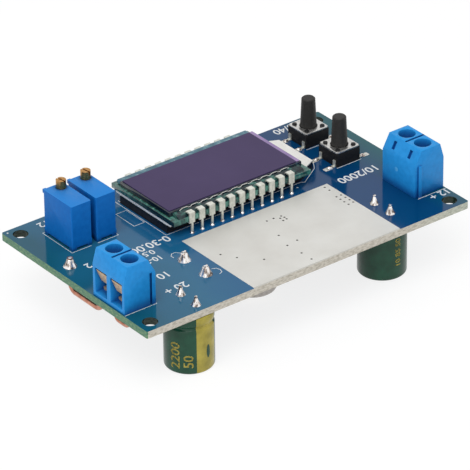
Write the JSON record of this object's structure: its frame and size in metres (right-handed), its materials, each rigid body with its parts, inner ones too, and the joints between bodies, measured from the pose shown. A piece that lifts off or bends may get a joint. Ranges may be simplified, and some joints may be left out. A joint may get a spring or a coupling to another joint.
{
  "type": "adjustable power supply module",
  "caption": "Bare adjustable power supply board with a display, adjusting screws, push buttons, screw terminals and hanging power parts.",
  "frame": {"origin": "centre of the rectangle of mounting holes, in the underside of the board", "axes": "+Z out of the display face, +X along the board from the output end to the input end"},
  "size_m": [0.0814, 0.0493, 0.026],
  "materials": {
    "board": "gloss",
    "tin": "satin",
    "terminal": "satin",
    "trimmer": "satin",
    "brass": "satin",
    "steel": "satin",
    "black": "matte",
    "light_guide": "gloss",
    "film": "gloss",
    "glass": "gloss",
    "glue": "gloss",
    "sleeve": "gloss",
    "can": "satin",
    "bung": "matte",
    "copper": "satin",
    "core": "satin",
    "ceramic": "satin"
  },
  "bodies": {
    "board": {"button_domes": "brass", "chip_bodies": "black", "chip_ceramics": "ceramic", "chip_legs": "tin", "chip_resistors": "black", "circuit_board": "board", "current_trimmer_case": "trimmer", "input_capacitor_bung": "bung", "input_capacitor_can": "can", "input_capacitor_leads": "tin", "input_capacitor_sleeve": "sleeve", "input_inductor_core": "core", "input_inductor_winding": "copper", "input_terminal_frames": "brass", "input_terminal_housing": "terminal", "lcd_backlight": "black", "lcd_front_polariser": "film", "lcd_glue_beads": "glue", "lcd_light_guide": "light_guide", "lcd_lower_glass": "glass", "lcd_pins": "tin", "lcd_rear_polariser": "film", "lcd_upper_glass": "glass", "link_wire": "copper", "middle_capacitor_base": "black", "middle_capacitor_can": "can", "mode_button_base": "black", "mode_button_legs": "tin", "mode_button_plate": "steel", "output_capacitor_bung": "bung", "output_capacitor_can": "can", "output_capacitor_leads": "tin", "output_capacitor_sleeve": "sleeve", "output_inductor_core": "core", "output_inductor_winding": "copper", "output_shunt": "copper", "output_terminal_frames": "brass", "output_terminal_housing": "terminal", "power_diode": "black", "power_transistor": "black", "solder_joints": "tin", "switch_button_base": "black", "switch_button_legs": "tin", "switch_button_plate": "steel", "tinned_area": "tin", "trimmer_pins": "tin", "voltage_trimmer_case": "trimmer"},
    "current_adjuster": {"current_trimmer_screw": "brass"},
    "input_clamp_1": {"input_leaf_1": "brass"},
    "input_clamp_2": {"input_leaf_2": "brass"},
    "input_clamp_screw_1": {"input_screw_1": "steel"},
    "input_clamp_screw_2": {"input_screw_2": "steel"},
    "mode_stem": {"mode_button_stem": "black"},
    "output_clamp_1": {"output_leaf_1": "brass"},
    "output_clamp_2": {"output_leaf_2": "brass"},
    "output_clamp_screw_1": {"output_screw_1": "steel"},
    "output_clamp_screw_2": {"output_screw_2": "steel"},
    "switch_stem": {"switch_button_stem": "black"},
    "voltage_adjuster": {"voltage_trimmer_screw": "brass"}
  },
  "joints": [
    {"name": "output_clamp_slide_1", "type": "slide", "parent": "board", "child": "output_clamp_1", "axis": [0, 0, 1], "range_m": [-0.00125, 0]},
    {"name": "output_screw_turn_1", "type": "hinge", "parent": "output_clamp_1", "child": "output_clamp_screw_1", "pos_m": [-0.037, -0.01415, 0.0076], "axis": [0, 0, 1], "range_deg": [-900, 0]},
    {"name": "output_clamp_slide_2", "type": "slide", "parent": "board", "child": "output_clamp_2", "axis": [0, 0, 1], "range_m": [-0.00125, 0]},
    {"name": "output_screw_turn_2", "type": "hinge", "parent": "output_clamp_2", "child": "output_clamp_screw_2", "pos_m": [-0.037, -0.00915, 0.0076], "axis": [0, 0, 1], "range_deg": [-900, 0]},
    {"name": "input_clamp_slide_1", "type": "slide", "parent": "board", "child": "input_clamp_1", "axis": [0, 0, 1], "range_m": [-0.00125, 0]},
    {"name": "input_screw_turn_1", "type": "hinge", "parent": "input_clamp_1", "child": "input_clamp_screw_1", "pos_m": [0.037, -0.00915, 0.0076], "axis": [0, 0, 1], "range_deg": [-900, 0]},
    {"name": "input_clamp_slide_2", "type": "slide", "parent": "board", "child": "input_clamp_2", "axis": [0, 0, 1], "range_m": [-0.00125, 0]},
    {"name": "input_screw_turn_2", "type": "hinge", "parent": "input_clamp_2", "child": "input_clamp_screw_2", "pos_m": [0.037, -0.01415, 0.0076], "axis": [0, 0, 1], "range_deg": [-900, 0]},
    {"name": "voltage_adjust", "type": "hinge", "parent": "board", "child": "voltage_adjuster", "pos_m": [-0.03052, 0.01753, 0.0116], "axis": [0, 0, 1], "continuous": true},
    {"name": "current_adjust", "type": "hinge", "parent": "board", "child": "current_adjuster", "pos_m": [-0.02447, 0.01753, 0.0116], "axis": [0, 0, 1], "continuous": true},
    {"name": "switch_press", "type": "slide", "parent": "board", "child": "switch_stem", "axis": [0, 0, 1], "range_m": [-0.00025, 0], "stiffness_N_per_m": 6000},
    {"name": "mode_press", "type": "slide", "parent": "board", "child": "mode_stem", "axis": [0, 0, 1], "range_m": [-0.00025, 0], "stiffness_N_per_m": 6000}
  ],
  "couplings": [
    {"joint": "output_screw_turn_1", "follows": "output_clamp_slide_1", "rad_per_m": 12566},
    {"joint": "output_screw_turn_2", "follows": "output_clamp_slide_2", "rad_per_m": 12566},
    {"joint": "input_screw_turn_1", "follows": "input_clamp_slide_1", "rad_per_m": 12566},
    {"joint": "input_screw_turn_2", "follows": "input_clamp_slide_2", "rad_per_m": 12566}
  ]
}
